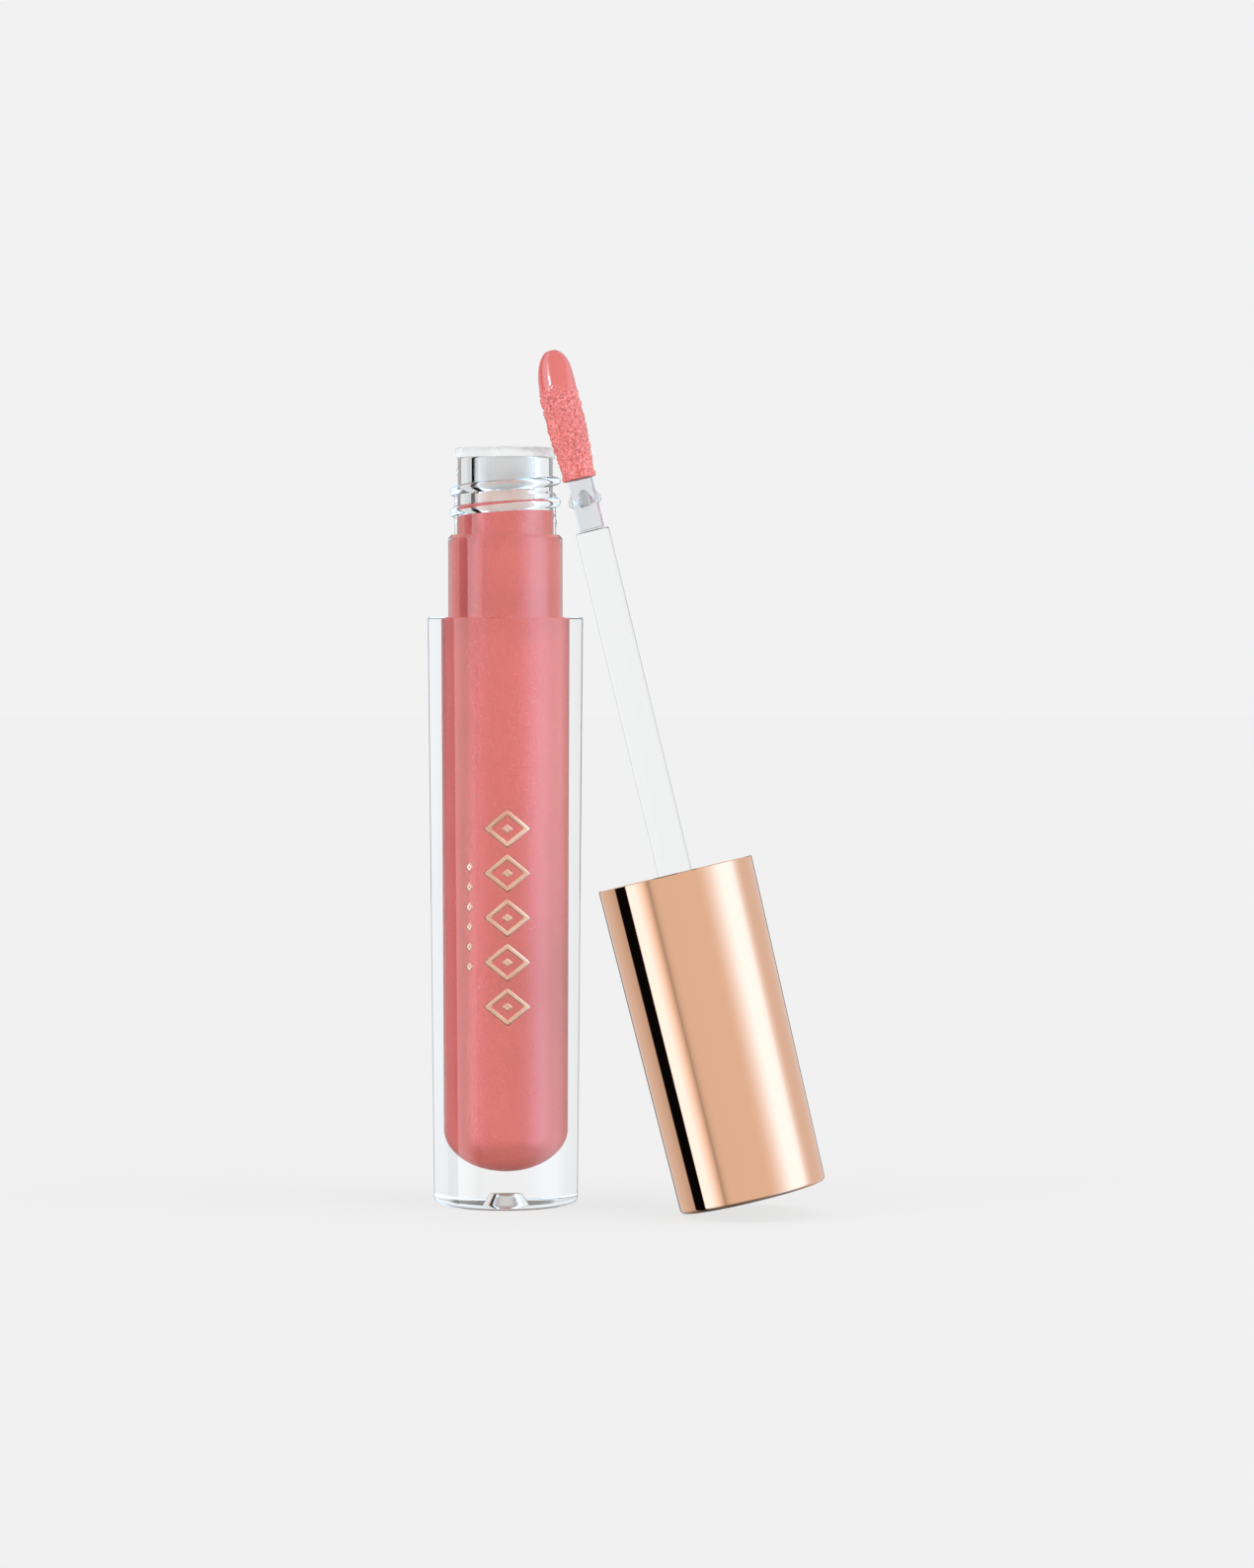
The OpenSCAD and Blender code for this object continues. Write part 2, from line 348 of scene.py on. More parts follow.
def wet_flock(name):
    """Nylon flock wet with gloss: grainy over most of the tip, and smooth where gloss pools at the toe."""
    mat, tree, shader = material(name, IOR=1.47, Coat_Weight=0.6, Coat_Roughness=0.06)
    grain = noise_texture(tree, 3400, 2, 0.6)
    where = tree.nodes.new("ShaderNodeTexCoord")
    split = tree.nodes.new("ShaderNodeSeparateXYZ")
    tree.links.new(where.outputs["Object"], split.inputs["Vector"])
    pooled = mapped(tree, split.outputs["Z"], POOL_START * MM, POOL_FULL * MM, 0, 1)
    tint = two_colours(tree, mapped(tree, grain, 0.35, 0.68, 0, 1), FLOCK_DEEP, FLOCK_LIGHT)
    node = tree.nodes.new("ShaderNodeMix")
    node.data_type = "RGBA"
    node.inputs["B"].default_value = (*POOL_COLOUR, 1)
    tree.links.new(pooled, node.inputs["Factor"])
    tree.links.new(tint, node.inputs["A"])
    tree.links.new(node.outputs["Result"], shader.inputs["Base Color"])
    tree.links.new(mapped(tree, pooled, 0, 1, 0.5, 0.16), shader.inputs["Roughness"])
    return mat


# ---------------------------------------------------------------- bottle side

EDGE_R = 0.75
SHOULDER_EDGE = 0.12
COLLAR_CHAMFER = 0.4
RIM_R = 0.2
DIMPLE_BASE_R = 1.8
DIMPLE_TOP_R = 1.2
DIMPLE_H = 1.4
NECK_STEP_RISE = 0.3
THREAD_STEP = 0.06


def cavity(top, grow=0.0):
    """The cavity's outline from top down to the axis, grown outwards into the wall."""
    low = CAVITY_LOW_R + grow
    return [
        (BORE_R + grow, top), (BORE_R + grow, COLLAR_TOP), (CAVITY_TOP_R + grow, CAVITY_TOP),
        *arc((0, CAVITY_FLOOR + CAVITY_LOW_R), low, 0, -85, 24), (0, CAVITY_FLOOR - grow),
    ]


def neck_shape(radius, height, turn):
    """Adds the thread to the neck's outside."""
    if radius < NECK_R - RIM_R or not COLLAR_TOP < height < NECK_TOP:
        return radius
    return radius + (THREAD_R - radius) * bead_height(height, turn, THREAD_START, THREAD_TURNS)


def make_bottle():
    """The clear moulding, as one closed surface: outside, underside with its gate dimple, and cavity."""
    neck = [
        *between((NECK_R, NECK_TOP - RIM_R), (NECK_R, NECK_STEP + NECK_STEP_RISE), THREAD_STEP),
        *between((NECK_R, NECK_STEP + NECK_STEP_RISE), (NECK_LOW_R, NECK_STEP), THREAD_STEP),
        *between((NECK_LOW_R, NECK_STEP), (NECK_LOW_R, COLLAR_TOP), THREAD_STEP),
    ]
    outside = [
        *arc((NECK_R - RIM_R, NECK_TOP - RIM_R), RIM_R, 90, 20, 4), *neck, (NECK_LOW_R, COLLAR_TOP),
        (COLLAR_R - COLLAR_CHAMFER, COLLAR_TOP), (COLLAR_R, COLLAR_TOP - COLLAR_CHAMFER),
        (COLLAR_R, BODY_H), (JOINT_R - SHOULDER_EDGE, BODY_H), (JOINT_R, BODY_H - SHOULDER_EDGE),
        *arc((BASE_R - EDGE_R, EDGE_R), EDGE_R, 0, -90, 12),
    ]
    underside = [
        (LABEL_R, 0), (LABEL_R, LABEL_T), (DIMPLE_BASE_R, LABEL_T),
        (DIMPLE_TOP_R, LABEL_T + DIMPLE_H), (0, LABEL_T + DIMPLE_H),
    ]
    inside = list(reversed(cavity(NECK_TOP)))
    bottle = lathe("bottle_glass", outside + underside, FINEST_SEGMENTS, shape=neck_shape)
    hollow = lathe("bottle_cavity", inside + [outside[0]], FINEST_SEGMENTS)
    join(bottle, hollow)
    # The bottle's clear plastic gets painted grey shade along its outlines.
    bottle.data.materials.append(clear_plastic("clear_bottle", 1.57, 0.0, 0.012, shine=BOTTLE_SHINE))
    return ride(bottle, "bottle", "bottle", slot="clear_bottle")


def join(piece, other):
    """Joins another piece's mesh into this one, and welds what meets."""
    mesh = bmesh.new()
    mesh.from_mesh(piece.data)
    mesh.from_mesh(other.data)
    bmesh.ops.remove_doubles(mesh, verts=mesh.verts, dist=WELD_M)
    bmesh.ops.recalc_face_normals(mesh, faces=mesh.faces)
    mesh.to_mesh(piece.data)
    mesh.free()
    bpy.data.objects.remove(other)
    piece.data.set_sharp_from_angle(angle=math.radians(SHARP_EDGE))


GLOSS_LAP = 0.02
# The liquid's surface, mm: radius, and height over the level. It climbs the wall a little.
MENISCUS = [(0, -0.25), (1.6, -0.22), (2.4, -0.1), (2.9, 0.02), (BORE_R + GLOSS_LAP, 0.12)]
GLOSS_SHARP = 50


def make_gloss():
    """The product, pressed a hair into the wall so that no air shows between them."""
    surface = [(radius, GLOSS_LEVEL + rise) for radius, rise in MENISCUS]
    outline = surface + cavity(GLOSS_LEVEL, GLOSS_LAP)[1:]
    gloss = lathe("gloss_body", outline, FINE_SEGMENTS, sharp=GLOSS_SHARP)
    gloss.data.materials.append(pearl_gloss("pearl_gloss"))
    return ride(gloss, "bottle", "gloss_fill", slot="gloss")


SLEEVE_GAP = 0.04
SNAP_RINGS = (87.1, 85.5)
SNAP_HALF = 0.2
SNAP_H = 0.03
SLEEVE_END = 80.6
FUNNEL_OUTSIDE = 80.2
FUNNEL_INSIDE = 81.0
LIP_TOP = 78.9
LIP_END = 78.5
FLANGE_EDGE_R = 0.2
FLANGE_FOOT_R = 0.1
MOUTH_BEVEL = 0.35


def make_wiper():
    """The soft insert in the neck: flange, sleeve with two snap rings, funnel and lip."""
    sleeve_r = BORE_R - SLEEVE_GAP
    snaps = [(sleeve_r + (SNAP_H if side == 0 else 0), ring + side * SNAP_HALF)
             for ring in SNAP_RINGS for side in (1, 0, -1)]
    outline = [
        (WIPER_BORE_R + MOUTH_BEVEL, WIPER_TOP),
        *arc((FLANGE_R - FLANGE_EDGE_R, WIPER_TOP - FLANGE_EDGE_R), FLANGE_EDGE_R, 90, 0, 6),
        *arc((FLANGE_R - FLANGE_FOOT_R, NECK_TOP + FLANGE_FOOT_R), FLANGE_FOOT_R, 0, -90, 4),
        (sleeve_r, NECK_TOP + 0.01), *snaps, (sleeve_r, SLEEVE_END),
        (BORE_R - 0.35, FUNNEL_OUTSIDE), (ORIFICE_R + 0.3, LIP_END), (ORIFICE_R, LIP_END),
        (ORIFICE_R, LIP_TOP),
        (WIPER_BORE_R, FUNNEL_INSIDE), (WIPER_BORE_R, WIPER_TOP - MOUTH_BEVEL),
    ]
    wiper = lathe("wiper_insert", outline, WIPER_SEGMENTS, closed=True, sharp=35)
    # The wiper's light grey along its outlines is painted shade.
    wiper.data.materials.append(clear_plastic(
        "frosted_wiper", 1.25, 0.2, 0.35, colour=(0.9, 0.91, 0.91), edge_shade=(0.7, 0.7, 0.7), clear=0.7))
    return ride(wiper, "bottle", "wiper", slot="wiper_plastic")


FILM_TOP = 85.3
FILM_T = 0.012
FILM_GAP = 0.012


def make_film():
    """The film of gloss that is pushed up between the wiper's sleeve and the neck."""
    outer = BORE_R - FILM_GAP
    outline = [(outer - FILM_T, FILM_TOP - 0.05), (outer, FILM_TOP), (outer, GLOSS_LEVEL + 0.1),
               (outer - FILM_T, GLOSS_LEVEL + 0.1)]
    film = lathe("gloss_film", outline, WIPER_SEGMENTS, closed=True)
    mat, tree, shader = material("gloss_film", Transmission_Weight=0.3, IOR=1.2)
    cloud = noise_texture(tree, 900, 3)
    tint = two_colours(tree, mapped(tree, cloud, 0.35, 0.65, 0, 1), (1.0, 0.72, 0.64), (1.0, 0.82, 0.76))
    tree.links.new(tint, shader.inputs["Base Color"])
    tree.links.new(mapped(tree, cloud, 0.3, 0.7, 0.3, 0.5), shader.inputs["Roughness"])
    film.data.materials.append(mat)
    return ride(film, "bottle", slot="gloss")


# The foil ornament: a chain of open lozenges, and a row of small solid ones beside it.
FOIL_T = 0.02
CHAIN_MIDDLE = 0.45
CHAIN_TOP = 47.4
CHAIN_SIZE = (5.6, 4.5)
CHAIN_PITCH = 5.25
CHAIN_STROKE = 0.3
CHAIN_COUNT = 5
CHARM_SIZE = (1.3, 1.05)
ROW_MIDDLE = -4.2
ROW_TOP = 40.6
ROW_SIZE = (0.95, 1.25)
ROW_PITCH = 2.35
ROW_COUNT = 6
FOIL_STEPS = 8
FOIL_RINGS = 4
CHARM_HOLE = 0.02


def on_bottle(across, height):
    """A point on the bottle's front, from millimetres round it and up it."""
    radius = BASE_R + (JOINT_R - BASE_R) * height / BODY_H + FOIL_T / 2
    a = math.radians(-90) + across / radius
    return radius * math.cos(a), radius * math.sin(a), height


def lozenge(verts, faces, across, height, size, hole):
    """Adds a lozenge, which has an opening of hole times its size."""
    corners = [(size[0] / 2, 0), (0, size[1] / 2), (-size[0] / 2, 0), (0, -size[1] / 2)]
    sides = zip(corners, corners[1:] + corners[:1])
    points = [p for a, b in sides for p in between(a, b, size[0] / FOIL_STEPS)]
    first, count, rings = len(verts), len(points), FOIL_RINGS
    for i in range(rings):
        part = 1 - (1 - hole) * i / (rings - 1)
        verts += [on_bottle(across + x * part, height + y * part) for x, y in points]
    for i in range(rings - 1):
        for j in range(count):
            k = (j + 1) % count
            a, b = first + i * count, first + (i + 1) * count
            faces.append((a + j, a + k, b + k, b + j))


def make_ornament():
    """The foil ornament stamped on the bottle's front."""
    verts, faces = [], []
    for i in range(CHAIN_COUNT):
        height = CHAIN_TOP - CHAIN_SIZE[1] / 2 - CHAIN_PITCH * i
        lozenge(verts, faces, CHAIN_MIDDLE, height, CHAIN_SIZE, 1 - CHAIN_STROKE)
        lozenge(verts, faces, CHAIN_MIDDLE, height, CHARM_SIZE, CHARM_HOLE)
    for i in range(ROW_COUNT):
        lozenge(verts, faces, ROW_MIDDLE, ROW_TOP - ROW_PITCH * i, ROW_SIZE, CHARM_HOLE)
    ornament = new_piece("foil_ornament", verts, faces)
    solid = ornament.modifiers.new("foil", "SOLIDIFY")
    solid.thickness = FOIL_T * MM
    solid.offset = 0
    ornament.data.materials.append(foil("stamped_foil"))
    return ride(ornament, "bottle", slot="rose_gold")


# ---------------------------------------------------------------- applicator side

SHELL_RIM = 0.08
SHELL_END_T = 0.6
SHELL_END_RING_R = 4


def make_cap_shell():
    """The polished shell: rounded closed end, straight drafted wall and fine rim."""
    rim = SHELL_RIM
    inner_end = CAP_END_R - SHELL_T
    outline = [
        (JOINT_R - SHELL_T, -rim), (JOINT_R - SHELL_T + rim, 0), (JOINT_R - rim, 0), (JOINT_R, -rim),
        *between((JOINT_R, -rim), (CAP_END_R, SHELL_EDGE_R - CAP_LEN), LONG_STEP)[1:],
        *arc((CAP_END_R - SHELL_EDGE_R, SHELL_EDGE_R - CAP_LEN), SHELL_EDGE_R, 0, -90, 12),
        (SHELL_END_RING_R, -CAP_LEN), (0, -CAP_LEN), (0, SHELL_END_T - CAP_LEN),
        (inner_end, SHELL_END_T - CAP_LEN),
    ]
    shell = lathe("cap_shell_polished", outline + [outline[0]], FINEST_SEGMENTS, matrix=APPLICATOR)
    weld(shell)
    shell.data.materials.append(rose_gold("rose_gold"))
    return ride(shell, "applicator", "cap_shell", slot="rose_gold")


def weld(piece):
    """Welds points that lie on each other, and turns all faces outwards."""
    mesh = bmesh.new()
    mesh.from_mesh(piece.data)
    bmesh.ops.remove_doubles(mesh, verts=mesh.verts, dist=WELD_M)
    bmesh.ops.recalc_face_normals(mesh, faces=mesh.faces)
    mesh.to_mesh(piece.data)
    mesh.free()
    piece.data.set_sharp_from_angle(angle=math.radians(SHARP_EDGE))


ROD_BEVEL = 0.12
ROD_ROOT = -31.9


def make_rod():
    """The clear rod, from its socket in the cap to its bevelled end."""
    outline = [
        (0, ROD_OUT), (ROD_R - ROD_BEVEL, ROD_OUT), (ROD_R, ROD_OUT - ROD_BEVEL),
        *between((ROD_R, ROD_OUT - ROD_BEVEL), (ROD_R, ROD_ROOT), LONG_STEP)[1:],
        (ROD_R, ROD_ROOT), (0, ROD_ROOT),
    ]
    rod = lathe("wand_rod_clear", outline, SMALL_SEGMENTS, matrix=APPLICATOR)
    weld(rod)
    # The rod's dark grey along its outlines is painted shade.
    rod.data.materials.append(clear_plastic("clear_rod", 1.13, 0.0, 0.01, edge_shade=(0.2, 0.2, 0.21), thin=0.72))
    return ride(rod, "applicator", "wand_rod", slot="clear_rod")


# The tip from its flange to its toe, mm: height, half width, depth of its front and of its back, and how far
# its middle lies to the right.
TIP_STATIONS = [
    (47.82, 1.9, 1.9, 1.9, 0.0),
    (48.0, 2.03, 2.03, 2.03, 0.0),
    (48.25, 2.03, 2.03, 2.03, 0.0),
    (48.6, 1.9, 1.9, 1.9, 0.0),
    (50.4, 2.06, 2.02, 2.02, 0.0),
    (53.0, 2.2, 2.15, 2.1, -0.02),
    (55.5, 2.26, 2.1, 2.15, -0.04),
    (58.0, 2.26, 1.75, 2.15, -0.05),
    (60.0, 2.14, 1.3, 2.05, 0.03),
    (61.4, 1.92, 0.95, 1.85, 0.14),
    (62.4, 1.52, 0.68, 1.5, 0.2),
    (63.0, 1.05, 0.45, 1.1, 0.2),
    (63.3, 0.6, 0.3, 0.7, 0.17),
]
TIP_RINGS = 260
TIP_SEGMENTS = 230
GRAIN_SIZE = 0.4
GRAIN_DEPTH = 0.36
GRAIN_MIDDLE = 0.45
GRAIN_CLUMPS = 0.3
CLUMP_SIZE = 2.5
GRAIN_LIFT = 0.3
ROOT_BARE = 0.8
ROOT_FADE = 1.5
ROOT_LEAST = 0.25
SMOOTH_RINGS = 2
TOE_BACK = 0.15
TIP_TURN = -12
NO_SHARP_EDGES = 180


def station(height):
    """The tip's four measures at a height, on a smooth curve through TIP_STATIONS."""
    last = len(TIP_STATIONS) - 2
    i = max(k for k in range(last + 1) if TIP_STATIONS[k][0] <= height or k == 0)
    a, b = TIP_STATIONS[i], TIP_STATIONS[i + 1]
    before, after = TIP_STATIONS[max(i - 1, 0)], TIP_STATIONS[min(i + 2, last + 1)]
    span = b[0] - a[0]
    t = (height - a[0]) / span
    result = []
    for k in range(1, 5):
        start = (b[k] - before[k]) / (b[0] - before[0]) * span
        end = (after[k] - a[k]) / (after[0] - a[0]) * span
        result.append((2 * t**3 - 3 * t**2 + 1) * a[k] + (t**3 - 2 * t**2 + t) * start
                      + (3 * t**2 - 2 * t**3) * b[k] + (t**3 - t**2) * end)
    return result


def grain(point, height):
    """How far flock stands out at a point: bristly low down, and drowned in gloss near the toe."""
    pooled = min(1, max(0, (height - POOL_START) / (POOL_FULL - POOL_START)))
    near = noise.voronoi(Vector(point) / GRAIN_SIZE)[0]
    clump = noise.noise(Vector(point) / (CLUMP_SIZE * GRAIN_SIZE))
    rough = GRAIN_MIDDLE - min(near[0], 1.0) + GRAIN_CLUMPS * clump
    rooted = min(1, max(ROOT_LEAST, (height - TIP_BASE - ROOT_BARE) / ROOT_FADE))
    return GRAIN_DEPTH * rough * (1 - pooled) * rooted


def make_tip():
    """The flocked doe-foot tip, wet with gloss."""
    low, high = TIP_STATIONS[0][0], TIP_STATIONS[-1][0]
    verts, faces = [], []
    for i in range(TIP_RINGS):
        height = low + (high - low) * i / (TIP_RINGS - 1)
        width, front, back, right = station(height)
        for j in range(TIP_SEGMENTS):
            a = WHOLE_TURN * j / TIP_SEGMENTS
            depth = front if math.sin(a) < 0 else back
            point = (right + width * math.cos(a), depth * math.sin(a), height)
            out = grain(point, height) if i > SMOOTH_RINGS else 0
            x, y = point[0] + out * math.cos(a), point[1] + out * math.sin(a)
            verts.append((x, y, height + GRAIN_LIFT * out))
    for i in range(TIP_RINGS - 1):
        for j in range(TIP_SEGMENTS):
            k = (j + 1) % TIP_SEGMENTS
            a, b = i * TIP_SEGMENTS, (i + 1) * TIP_SEGMENTS
            faces.append((a + j, a + k, b + k, b + j))
    base, toe = len(verts), len(verts) + 1
    verts += [(0, 0, low), (TIP_STATIONS[-1][4], TOE_BACK, WAND_OUT)]
    top = (TIP_RINGS - 1) * TIP_SEGMENTS
    for j in range(TIP_SEGMENTS):
        k = (j + 1) % TIP_SEGMENTS
        faces += [(base, k, j), (toe, top + j, top + k)]
    turned = APPLICATOR @ Matrix.Rotation(math.radians(TIP_TURN), 4, "Z")
    tip = new_piece("tip_flocked", verts, faces, turned, NO_SHARP_EDGES)
    tip.data.materials.append(wet_flock("wet_flock"))
    light_tip(tip)
    return ride(tip, "applicator", "tip_flock", slot="flock")


SPARK_AROUND = -50
SPARK_UP = 22
SPARK_AWAY = 0.6
SPARK_SIZE = (0.035, 0.045)
SPARK_POWER = 0.5


def light_tip(tip):
    """A slim strip light that only the tip receives, for the highlight in its pooled gloss."""
    data = bpy.data.lights.new("spark", "AREA")
    data.shape = "RECTANGLE"
    data.size, data.size_y = SPARK_SIZE
    data.energy = SPARK_POWER
    lamp = bpy.data.objects.new("spark", data)
    bpy.context.scene.collection.objects.link(lamp)
    around, up = math.radians(SPARK_AROUND), math.radians(SPARK_UP)
    away = Vector((math.sin(around) * math.cos(up), -math.cos(around) * math.cos(up), math.sin(up)))
    lamp.location = APPLICATOR @ Vector((0, 0, WAND_OUT * MM)) + away * SPARK_AWAY
    lamp.rotation_euler = away.to_track_quat("Z", "Y").to_euler()
    lamp.visible_camera = False
    only_tip = bpy.data.collections.new("spark_receivers")
    only_tip.objects.link(tip)
    lamp.light_linking.receiver_collection = only_tip


CORE_R = 1.3
CORE_POINT_R = 0.9
CORE_DOWN = (5.6, 5.9, 6.9)
FLANGE_OUT_R = 1.95
FLANGE_BEVEL = 0.08
STEM_FILLET = 0.12
STEM_FILLET_H = 0.15
STEM_STEP = 0.4
# One nib's outline, mm: radius and height.
NIB = [(1.3, 44.4), (1.98, 44.9), (1.98, 45.3), (1.3, 46.4)]
NIB_T = 0.7
NIB_COUNT = 4
NIB_BEVEL = 0.07


def make_stem():
    """The stem between the rod and the tip: a round pin with four nibs, and a flange under the flock."""
    flange_top = TIP_BASE + TIP_FLANGE_T
    outline = [
        (0, WAND_OUT - CORE_DOWN[0]), (CORE_POINT_R, WAND_OUT - CORE_DOWN[1]),
        (CORE_R, WAND_OUT - CORE_DOWN[2]), (CORE_R, flange_top),
        (FLANGE_OUT_R - FLANGE_BEVEL, flange_top), (FLANGE_OUT_R, flange_top - FLANGE_BEVEL),
        (FLANGE_OUT_R, TIP_BASE + FLANGE_BEVEL), (FLANGE_OUT_R - FLANGE_BEVEL, TIP_BASE),
        (STEM_R + STEM_FILLET, TIP_BASE), (STEM_R, TIP_BASE - STEM_FILLET_H),
        *between((STEM_R, TIP_BASE - STEM_FILLET_H), (STEM_R, ROD_OUT + 0.1), STEM_STEP)[1:],
        (STEM_R, ROD_OUT + 0.1), (STEM_R + 0.06, ROD_OUT + 0.01), (0, ROD_OUT + 0.01),
    ]
    stem = lathe("tip_stem", outline, SMALL_SEGMENTS, matrix=APPLICATOR)
    verts, faces = [], []
    for i in range(NIB_COUNT):
        a = WHOLE_TURN * i / NIB_COUNT
        first = len(verts)
        for side in (-NIB_T / 2, NIB_T / 2):
            verts += [(r * math.cos(a) - side * math.sin(a), r * math.sin(a) + side * math.cos(a), z)
                      for r, z in NIB]
        corners = len(NIB)
        faces.append([first + j for j in range(corners)])
        faces.append([first + corners + j for j in reversed(range(corners))])
        for j in range(corners):
            k = (j + 1) % corners
            faces.append((first + k, first + j, first + corners + j, first + corners + k))
    nibs = new_piece("nibs", verts, faces)
    mesh = bmesh.new()
    mesh.from_mesh(nibs.data)
    bmesh.ops.bevel(mesh, geom=mesh.edges[:], offset=NIB_BEVEL * MM, segments=2, affect="EDGES")
    mesh.to_mesh(nibs.data)
    mesh.free()
    join(stem, nibs)
    # The stem's clear plastic gets painted grey shade along its outlines.
    stem.data.materials.append(clear_plastic("stem_plastic", 1.3, 0.1, 0.2, (0.8, 0.81, 0.82), thin=0.75))
    return ride(stem, "applicator", "tip_core", slot="core_plastic")


def give_material(node, mat):
    """Gives a CAD node's object one material."""
    target = frame["nodes"][node]
    target.data.materials.clear()
    target.data.materials.append(mat)
    target.visible_glossy = False


# ---------------------------------------------------------------- studio

EYE = Vector((0.0145, -0.510, 0.068))
PITCH_DOWN = 2.01
LENS_MM = 98.116
SENSOR_MM = 36.0
BACKDROP = 0.888
FLOOR_SIZE = 6.0
MOST_BOUNCES = 24
FLOOR_GLOW = 0.735
FLOOR_LIGHT = 2.2
FLOOR_ALBEDO = 0.1
FLOOR_DOWN = 0.00002

# The studio round the object, as the polished cap mirrors it: degrees from the camera's side, positive to
# the right, with the strength of plain light there and of cool light. Cool light makes rose gold look white.
STUDIO = [
    (-180, 0.8, 0.0), (-128, 0.78, 0.0), (-110, 0.66, 0.0), (-105, 0.62, 0.0), (-104, 0.003, 0.0),
    (-81.5, 0.003, 0.0), (-80.5, 1.3, 0.62), (-66, 1.3, 0.6), (-61, 1.25, 0.45), (-55, 1.15, 0.25),
    (-50, 1.05, 0.05), (-47, 0.9, 0.0), (-42, 0.5, 0.0), (-38.5, 0.7, 0.0), (-35, 0.81, 0.0),
    (-29, 0.875, 0.0), (28, 0.886, 0.0), (36, 0.92, 0.06), (42, 0.96, 0.19), (48, 1.0, 0.33),
    (55, 1.07, 0.52), (61, 1.15, 0.69), (68, 1.22, 0.8), (84, 1.22, 0.8), (92, 1.15, 0.72), (100, 0.95, 0.3),
    (110, 0.84, 0.06), (125, 0.82, 0.03), (179.9, 0.81, 0.0),
]
COOL_LIGHT = (0.2, 0.98, 1.96)
BRIGHTEST = 3.0
SOFT_LOW = 0.55
SOFT_MIDDLE = 0.9
SOFT_TOP = 1.85
SOFT_BOOST = 2.8
GRAZE_START = 161.0
GRAZE_FULL = 164.0
GRAZE_DARK = 0.3
BELOW = (-0.75, -0.35)
BELOW_DARK = 0.2
FIELD_EDGE = (96.0, 101.0)
FIELD_TOP = (0.3, 0.5)
FIELD_DARK = 0.22


def make_camera():
    """A level-standing camera that looks slightly down, at the height of the bottle's shoulder."""
    data = bpy.data.cameras.new("camera")
    data.sensor_width = SENSOR_MM
    data.lens = LENS_MM
    data.clip_start = 0.05
    camera = bpy.data.objects.new("camera", data)
    camera.location = EYE
    camera.rotation_euler = (math.radians(90 - PITCH_DOWN), 0, 0)
    bpy.context.scene.collection.objects.link(camera)
    bpy.context.scene.camera = camera


def make_world():
    """Soft boxes and flags all round, which mirrors see, and an even backdrop, which the camera sees.

    What is seen through clear plastic is a bright field that ends at the sides and overhead, as behind glass
    in a studio, so that clear edges draw themselves in grey.
    """
    world = bpy.data.worlds.new("studio")
    bpy.context.scene.world = world
    world.use_nodes = True
    tree = world.node_tree
    tree.nodes.clear()
    output = tree.nodes.new("ShaderNodeOutputWorld")
    where = tree.nodes.new("ShaderNodeTexCoord")
    split = tree.nodes.new("ShaderNodeSeparateXYZ")
    tree.links.new(where.outputs["Generated"], split.inputs["Vector"])
    front = math_node(tree, "MULTIPLY", split.outputs["Y"], -1.0)
    around = math_node(tree, "ARCTAN2", split.outputs["X"], front)
    aside = math_node(tree, "ABSOLUTE", around, 0.0)
    up = split.outputs["Z"]
    rays = tree.nodes.new("ShaderNodeLightPath")

    ramp = tree.nodes.new("ShaderNodeValToRGB")
    tree.links.new(mapped(tree, around, -math.pi, math.pi, 0, 1), ramp.inputs["Fac"])
    stops = ramp.color_ramp.elements
    for i, (degrees, plain, cool) in enumerate(STUDIO):
        spot = (degrees + 180) / 360
        stop = stops[i] if i < 2 else stops.new(spot)
        stop.position = spot
        stop.color = (*((plain + cool * c) / BRIGHTEST for c in COOL_LIGHT), 1)

    graze = mapped(tree, aside, math.radians(GRAZE_START), math.radians(GRAZE_FULL), 1, GRAZE_DARK)
    mirrored = math_node(tree, "MULTIPLY", graze, mapped(tree, up, *BELOW, BELOW_DARK, 1))
    mirrored = math_node(tree, "MULTIPLY", mirrored, BRIGHTEST)
    edges = [math.radians(a) for a in FIELD_EDGE]
    field = math_node(tree, "MULTIPLY", mapped(tree, aside, *edges, FIELD_DARK, 1),
                      mapped(tree, math_node(tree, "ABSOLUTE", up, 0.0), *FIELD_TOP, 1, FIELD_DARK))
    bounced = math_node(tree, "ADD", rays.outputs["Diffuse Depth"], rays.outputs["Glossy Depth"])
    straight = mapped(tree, bounced, 0, 1, 1, 0)
    through = math_node(tree, "MULTIPLY", rays.outputs["Is Transmission Ray"], straight)

    grey = tree.nodes.new("ShaderNodeRGBToBW")
    tree.links.new(ramp.outputs["Color"], grey.inputs["Color"])
    shade = grey.outputs["Val"]
    soft = math_node(tree, "ADD", mapped(tree, shade, 0, SOFT_MIDDLE / BRIGHTEST, SOFT_LOW, SOFT_MIDDLE),
                     mapped(tree, shade, SOFT_MIDDLE / BRIGHTEST, SOFT_TOP / BRIGHTEST, 0, SOFT_BOOST))
    studio = background(tree, (1.0, 1.0, 1.0), soft)
    mirror = background(tree, ramp.outputs["Color"], mirrored)
    bright_field = background(tree, (BACKDROP,) * 3, field)
    backdrop = background(tree, (BACKDROP,) * 3, 1.0)
    not_through = mapped(tree, rays.outputs["Is Transmission Ray"], 0, 1, 1, 0)
    reflected = math_node(tree, "MULTIPLY", rays.outputs["Is Glossy Ray"], not_through)
    light = mixed(tree, reflected, studio, mirror)
    light = mixed(tree, through, light, bright_field)
    light = mixed(tree, rays.outputs["Is Camera Ray"], light, backdrop)
    tree.links.new(light, output.inputs["Surface"])


def background(tree, colour, strength):
    """One Background shader, whose colour and strength may be sockets."""
    node = tree.nodes.new("ShaderNodeBackground")
    if isinstance(colour, tuple):
        node.inputs["Color"].default_value = (*colour, 1)
    else:
        tree.links.new(colour, node.inputs["Color"])
    if isinstance(strength, float):
        node.inputs["Strength"].default_value = strength
    else:
        tree.links.new(strength, node.inputs["Strength"])
    return node.outputs["Background"]


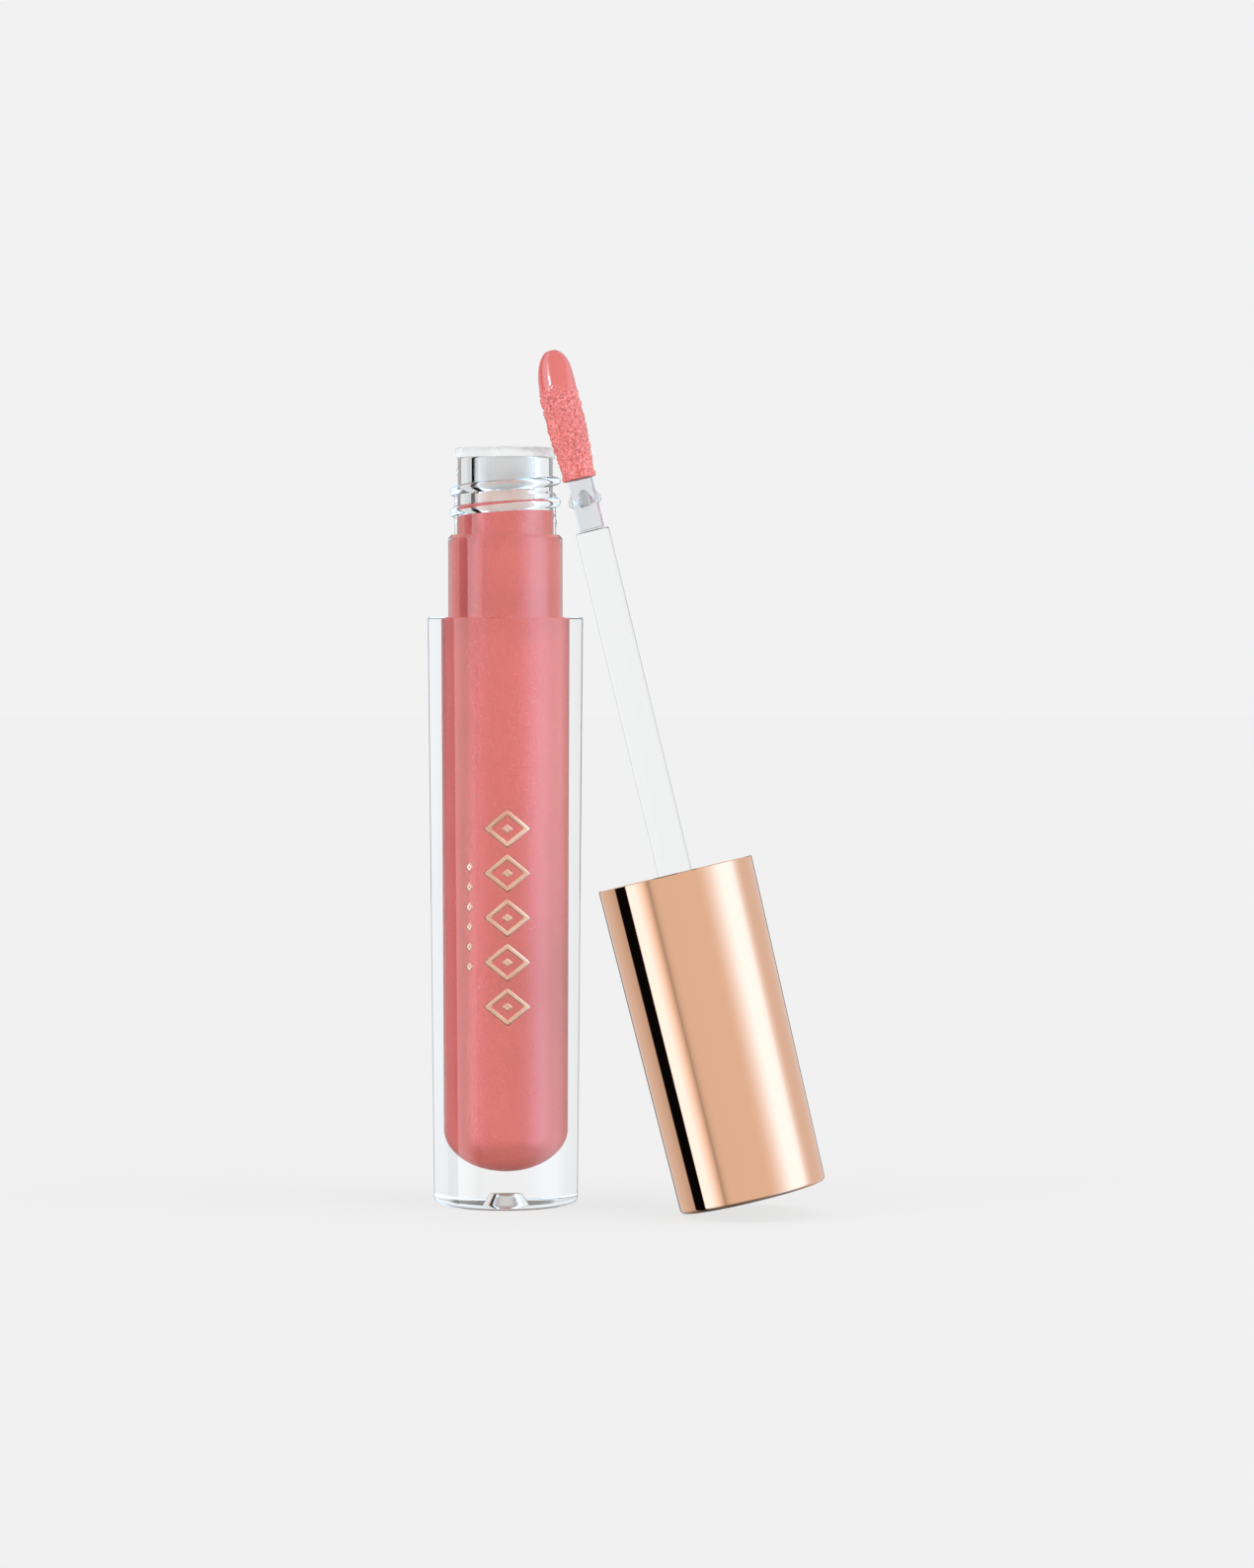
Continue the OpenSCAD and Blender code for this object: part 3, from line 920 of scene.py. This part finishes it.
def mixed(tree, factor, a, b):
    """One shader blended into another by a factor."""
    node = tree.nodes.new("ShaderNodeMixShader")
    tree.links.new(factor, node.inputs["Fac"])
    tree.links.new(a, node.inputs[1])
    tree.links.new(b, node.inputs[2])
    return node.outputs["Shader"]


def math_node(tree, operation, a, b):
    """One Math node, whose second input may be a number or a socket."""
    node = tree.nodes.new("ShaderNodeMath")
    node.operation = operation
    tree.links.new(a, node.inputs[0])
    if isinstance(b, float):
        node.inputs[1].default_value = b
    else:
        tree.links.new(b, node.inputs[1])
    return node.outputs[0]


def make_floor():
    """A pale floor that glows like a light table, so that shadows on it stay faint."""
    half = FLOOR_SIZE / 2
    mesh = bpy.data.meshes.new("floor")
    corners = [(-half, -half, 0), (half, -half, 0), (half, half, 0), (-half, half, 0)]
    mesh.from_pydata(corners, [], [(0, 1, 2, 3)])
    floor = bpy.data.objects.new("floor", mesh)
    bpy.context.scene.collection.objects.link(floor)
    floor.location.z = -FLOOR_DOWN
    mat, tree, shader = material(
        "pale_floor", Base_Color=(FLOOR_ALBEDO,) * 3 + (1,), Roughness=1.0, Specular_IOR_Level=0.0,
        Emission_Color=(1, 1, 1, 1))
    rays = tree.nodes.new("ShaderNodeLightPath")
    glow = mapped(tree, rays.outputs["Diffuse Depth"], 0, 1, FLOOR_GLOW, FLOOR_LIGHT)
    tree.links.new(glow, shader.inputs["Emission Strength"])
    mesh.materials.append(mat)
    floor.visible_glossy = False


def main():
    make_camera()
    make_world()
    make_floor()
    make_bottle()
    make_gloss()
    make_film()
    make_wiper()
    make_ornament()
    make_cap_shell()
    make_rod()
    make_stem()
    make_tip()
    # The label film gets painted grey shade along its outlines.
    give_material("base_label", clear_plastic("label_film", 1.1, 0.3, 0.45, (0.93, 0.9, 0.91)))
    give_material("seal_ring", moulded_plastic("seal_foam", (0.84, 0.84, 0.82), 0.75))
    give_material("inner_cap", moulded_plastic("inner_plastic", (0.8, 0.78, 0.75), 0.45))
    scene = bpy.context.scene
    scene.view_settings.view_transform = "Standard"
    scene.cycles.max_bounces = MOST_BOUNCES
    scene.cycles.glossy_bounces = MOST_BOUNCES
    scene.cycles.transmission_bounces = MOST_BOUNCES


main()
